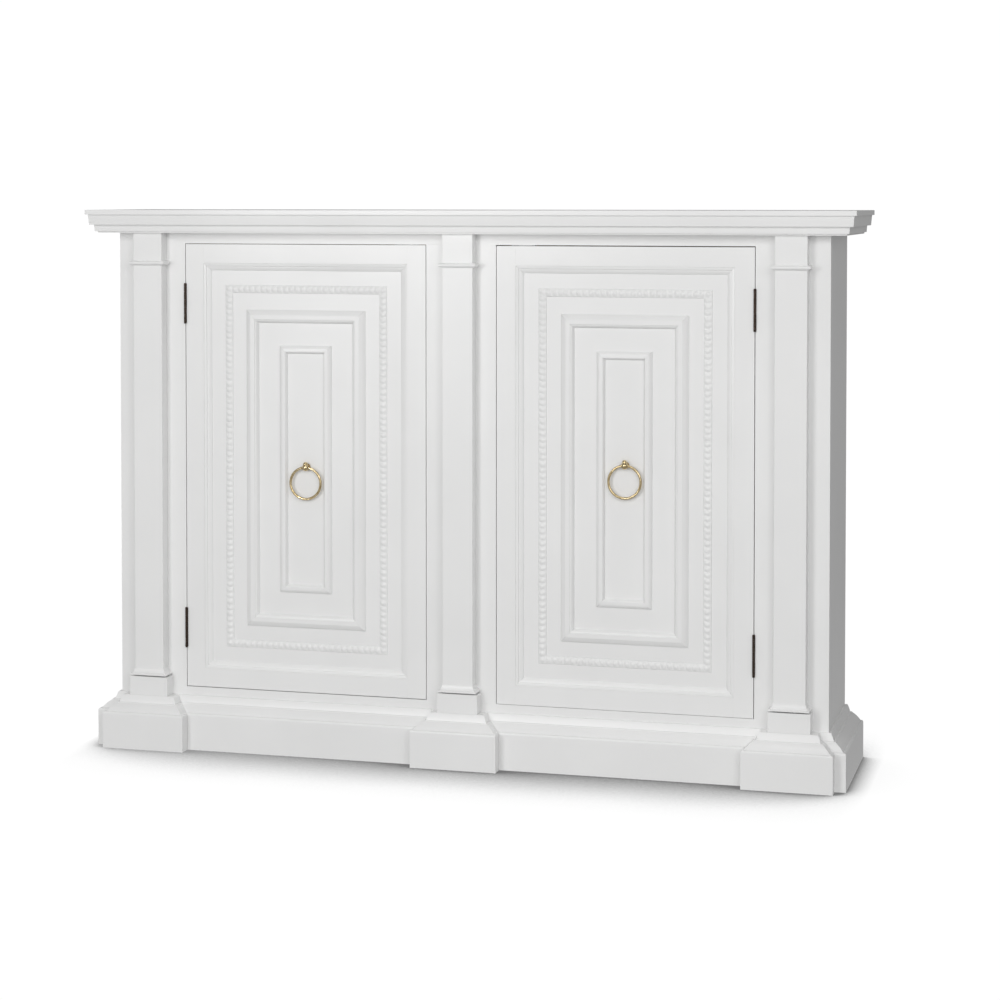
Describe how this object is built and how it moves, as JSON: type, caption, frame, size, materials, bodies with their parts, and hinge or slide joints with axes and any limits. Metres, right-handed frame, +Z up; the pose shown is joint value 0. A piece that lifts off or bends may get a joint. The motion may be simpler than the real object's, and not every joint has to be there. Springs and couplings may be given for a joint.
{
  "type": "sideboard cabinet",
  "caption": "Low painted storage cabinet with inset panelled doors on butt hinges, ring pulls, pilasters on pedestals, a moulded plinth and a stepped cornice.",
  "frame": {"origin": "centre of the footprint, on the floor", "axes": "+X to the right seen from the front, +Y towards the back, +Z up; the doors face -Y"},
  "size_m": [1.52, 0.316, 1.067],
  "materials": {
    "white_paint": "hand-painted satin white",
    "inside_paint": "hand-painted satin white, inside",
    "raw_wood": "unpainted plywood",
    "brass": "aged satin brass",
    "dark_bronze": "dark patinated",
    "steel": "zinc plated"
  },
  "bodies": {
    "carcass": {"top_board": "white_paint", "raked_board": "white_paint", "bed_moulding": "white_paint", "left_side": "white_paint", "right_side": "white_paint", "back_panel": "raw_wood", "bottom_board": "inside_paint", "centre_divider": "inside_paint", "left_shelf": "inside_paint", "right_shelf": "inside_paint", "shelf_pins": "steel", "left_face_stile": "white_paint", "centre_face_stile": "white_paint", "right_face_stile": "white_paint", "top_face_rail": "white_paint", "bottom_face_rail": "white_paint", "left_pilaster": "white_paint", "centre_pilaster": "white_paint", "right_pilaster": "white_paint", "pilaster_astragals": "white_paint", "pilaster_base_mouldings": "white_paint", "pilaster_blocks": "white_paint", "left_pedestal": "white_paint", "centre_pedestal": "white_paint", "right_pedestal": "white_paint", "left_plinth_front": "white_paint", "right_plinth_front": "white_paint", "left_plinth_side": "white_paint", "right_plinth_side": "white_paint", "left_case_leaves": "dark_bronze", "right_case_leaves": "dark_bronze", "hinge_pins": "dark_bronze", "magnetic_catches": "steel"},
    "door_left": {"left_door_hinge_stile": "white_paint", "left_door_lock_stile": "white_paint", "left_door_top_rail": "white_paint", "left_door_bottom_rail": "white_paint", "left_door_panel": "white_paint", "left_door_outer_moulding": "white_paint", "left_door_bead_moulding": "white_paint", "left_door_middle_moulding": "white_paint", "left_door_inner_moulding": "white_paint", "left_door_leaves": "dark_bronze", "left_catch_strike": "steel", "left_pull_post": "brass"},
    "door_right": {"right_door_hinge_stile": "white_paint", "right_door_lock_stile": "white_paint", "right_door_top_rail": "white_paint", "right_door_bottom_rail": "white_paint", "right_door_panel": "white_paint", "right_door_outer_moulding": "white_paint", "right_door_bead_moulding": "white_paint", "right_door_middle_moulding": "white_paint", "right_door_inner_moulding": "white_paint", "right_door_leaves": "dark_bronze", "right_catch_strike": "steel", "right_pull_post": "brass"},
    "ring_left": {"left_pull_ring": "brass"},
    "ring_right": {"right_pull_ring": "brass"}
  },
  "joints": [
    {"name": "left_door_hinge", "type": "hinge", "parent": "carcass", "child": "door_left", "pos_m": [-0.5673, -0.0985, 0.5595], "axis": [0, 0, -1], "range_deg": [0, 110]},
    {"name": "right_door_hinge", "type": "hinge", "parent": "carcass", "child": "door_right", "pos_m": [0.5673, -0.0985, 0.5595], "axis": [0, 0, 1], "range_deg": [0, 110]},
    {"name": "left_ring_swing", "type": "hinge", "parent": "door_left", "child": "ring_left", "pos_m": [-0.3164, -0.097, 0.5629], "axis": [-1, 0, 0], "range_deg": [0, 100]},
    {"name": "right_ring_swing", "type": "hinge", "parent": "door_right", "child": "ring_right", "pos_m": [0.321, -0.097, 0.5853], "axis": [-1, 0, 0], "range_deg": [0, 100]}
  ]
}
